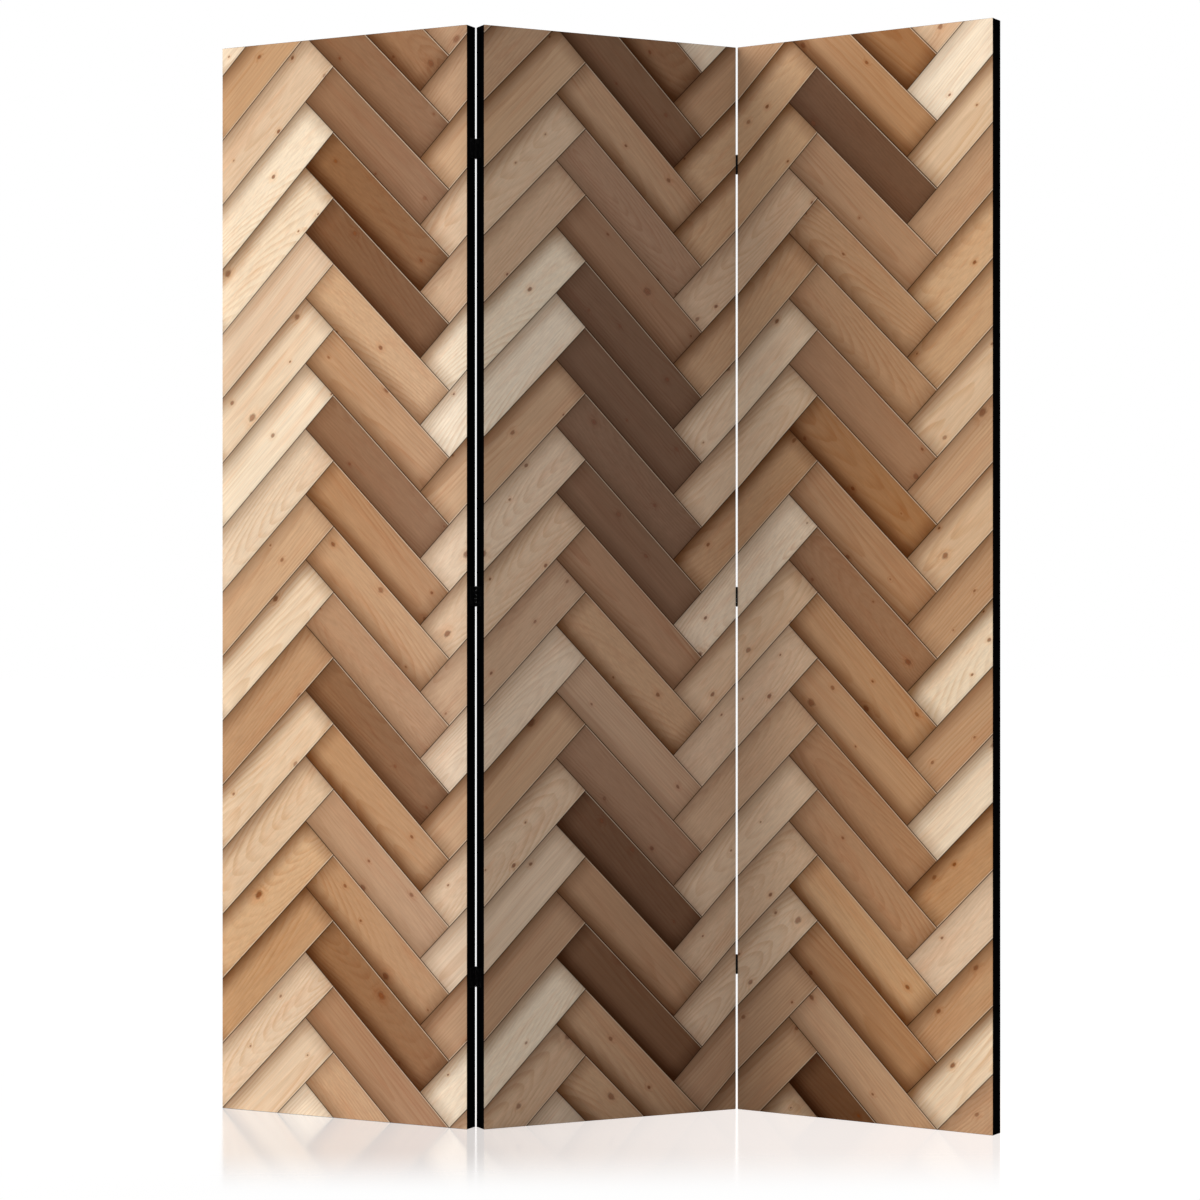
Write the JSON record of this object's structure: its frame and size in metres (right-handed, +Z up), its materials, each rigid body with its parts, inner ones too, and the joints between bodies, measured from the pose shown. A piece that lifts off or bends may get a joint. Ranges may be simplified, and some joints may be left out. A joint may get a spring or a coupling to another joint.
{
  "type": "folding screen",
  "caption": "Folding room screen: tall canvas panels stretched over open-backed pine frames, joined edge to edge by small black butt hinges, standing in a zigzag.",
  "frame": {"origin": "on the floor, under the middle of the screen's plan as it stands in the picture", "axes": "+Z up; +X to the right along the screen as seen from the printed side; +Y from the printed side to the back"},
  "size_m": [1.226, 0.284, 1.72],
  "materials": {
    "printed_canvas": "matt woven canvas, printed on the front, black round the edges",
    "pine": "planed pine, bare",
    "beech": "sawn beech, bare",
    "black_steel": "satin black",
    "pin_steel": "satin black",
    "black_screws": "black oxide",
    "staple_wire": "galvanised wire"
  },
  "bodies": {
    "centre_panel": {"centre_left_stile": "pine", "centre_right_stile": "pine", "centre_top_rail": "pine", "centre_bottom_rail": "pine", "centre_upper_crossbar": "pine", "centre_lower_crossbar": "pine", "centre_corner_keys": "beech", "centre_canvas": "printed_canvas", "centre_staples": "staple_wire", "left_top_hinge_centre_leaf": "black_steel", "left_top_hinge_pin": "pin_steel", "left_middle_hinge_centre_leaf": "black_steel", "left_middle_hinge_pin": "pin_steel", "left_bottom_hinge_centre_leaf": "black_steel", "left_bottom_hinge_pin": "pin_steel", "right_top_hinge_centre_leaf": "black_steel", "right_top_hinge_pin": "pin_steel", "right_middle_hinge_centre_leaf": "black_steel", "right_middle_hinge_pin": "pin_steel", "right_bottom_hinge_centre_leaf": "black_steel", "right_bottom_hinge_pin": "pin_steel", "left_centre_leaf_screws": "black_screws", "right_centre_leaf_screws": "black_screws"},
    "left_panel": {"left_outer_stile": "pine", "left_hinge_stile": "pine", "left_top_rail": "pine", "left_bottom_rail": "pine", "left_upper_crossbar": "pine", "left_lower_crossbar": "pine", "left_corner_keys": "beech", "left_canvas": "printed_canvas", "left_staples": "staple_wire", "left_top_hinge_outer_leaf": "black_steel", "left_middle_hinge_outer_leaf": "black_steel", "left_bottom_hinge_outer_leaf": "black_steel", "left_outer_leaf_screws": "black_screws"},
    "right_panel": {"right_hinge_stile": "pine", "right_outer_stile": "pine", "right_top_rail": "pine", "right_bottom_rail": "pine", "right_upper_crossbar": "pine", "right_lower_crossbar": "pine", "right_corner_keys": "beech", "right_canvas": "printed_canvas", "right_staples": "staple_wire", "right_top_hinge_outer_leaf": "black_steel", "right_middle_hinge_outer_leaf": "black_steel", "right_bottom_hinge_outer_leaf": "black_steel", "right_outer_leaf_screws": "black_screws"}
  },
  "joints": [
    {"name": "left_fold", "type": "hinge", "parent": "centre_panel", "child": "left_panel", "pos_m": [-0.19898, -0.06248, 0.86], "axis": [0, 0, 1], "range_deg": [-127.5, 52.5]},
    {"name": "right_fold", "type": "hinge", "parent": "centre_panel", "child": "right_panel", "pos_m": [0.22107, 0.10541, 0.86], "axis": [0, 0, 1], "range_deg": [-121, 59]}
  ]
}
